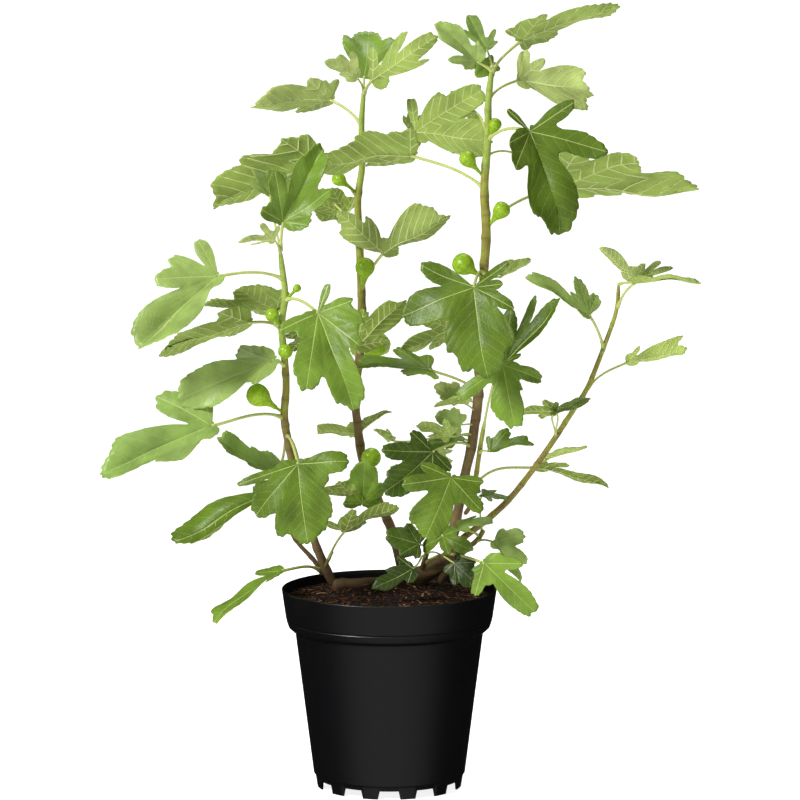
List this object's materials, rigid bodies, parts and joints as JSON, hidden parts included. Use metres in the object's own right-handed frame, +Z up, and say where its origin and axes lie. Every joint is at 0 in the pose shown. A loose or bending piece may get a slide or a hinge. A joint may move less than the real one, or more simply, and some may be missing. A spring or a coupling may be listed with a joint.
{
  "type": "potted fig tree",
  "caption": "Young fig tree with several slender stems, large lobed leaves and green figs, rooted in a round black nursery pot filled with potting mix.",
  "frame": {"origin": "centre of the pot's standing face, on the ground", "axes": "+Z up along the pot's axis, -Y toward the front of the plant, +X toward its right-hand stem"},
  "size_m": [0.608, 0.317, 0.8074],
  "materials": {
    "pot_plastic": "moulded black plastic, satin",
    "potting_mix": "loose, moist and fibrous",
    "bark": "smooth grey-brown bark",
    "foliage": "green leaves, slightly glossy above"
  },
  "bodies": {
    "root": {"pot": "pot_plastic", "potting_mix": "potting_mix", "trunk": "bark", "left_bough": "bark", "centre_left_bough": "bark", "centre_right_bough": "bark", "right_bough": "bark", "left_crown": "foliage", "centre_left_crown": "foliage", "centre_right_crown": "foliage", "right_crown": "foliage", "side_shoot": "foliage", "low_left_shoot": "foliage", "low_inner_shoot": "foliage", "front_sucker": "foliage", "right_sucker": "foliage"}
  },
  "joints": []
}
